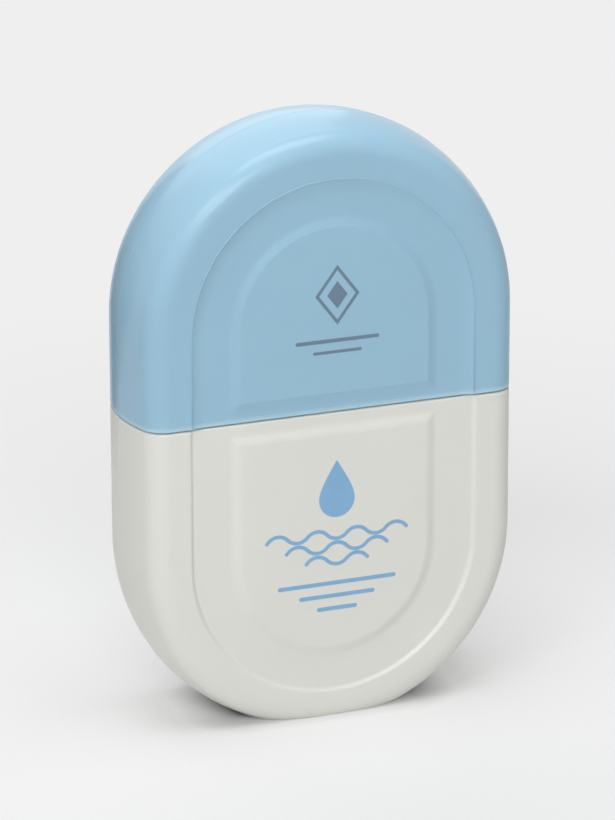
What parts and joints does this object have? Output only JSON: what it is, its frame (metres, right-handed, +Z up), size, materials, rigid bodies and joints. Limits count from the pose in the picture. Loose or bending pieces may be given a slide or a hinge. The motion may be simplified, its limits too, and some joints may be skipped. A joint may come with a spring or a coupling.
{
  "type": "sunscreen bottle",
  "caption": "Flat pebble-shaped sunscreen bottle: white lower half with neck and nozzle, light blue pull-off cap that carries on the oval outline, and an arched relief panel on front and back.",
  "frame": {"origin": "centre of the base on the surface that the bottle stands on", "axes": "+Z up along the bottle's height, +X across its width, -Y out of the front that the picture shows"},
  "size_m": [0.066, 0.0216, 0.1],
  "materials": {
    "bottle_white": "satin, blow-moulded HDPE",
    "nozzle_white": "satin LDPE",
    "lotion": "wet cream lotion",
    "cap_blue": "satin, injection-moulded PP",
    "insert_white": "natural PP",
    "liner_foam": "soft foamed PE"
  },
  "bodies": {
    "bottle": {"bottle_body": "bottle_white", "nozzle_insert": "nozzle_white", "lotion_fill": "lotion"},
    "cap": {"cap_shell": "cap_blue", "cap_insert": "insert_white", "seal_liner": "liner_foam"}
  },
  "joints": [
    {"name": "cap_lift", "type": "slide", "parent": "bottle", "child": "cap", "axis": [0, 0, 1], "range_m": [0, 0.04]}
  ]
}
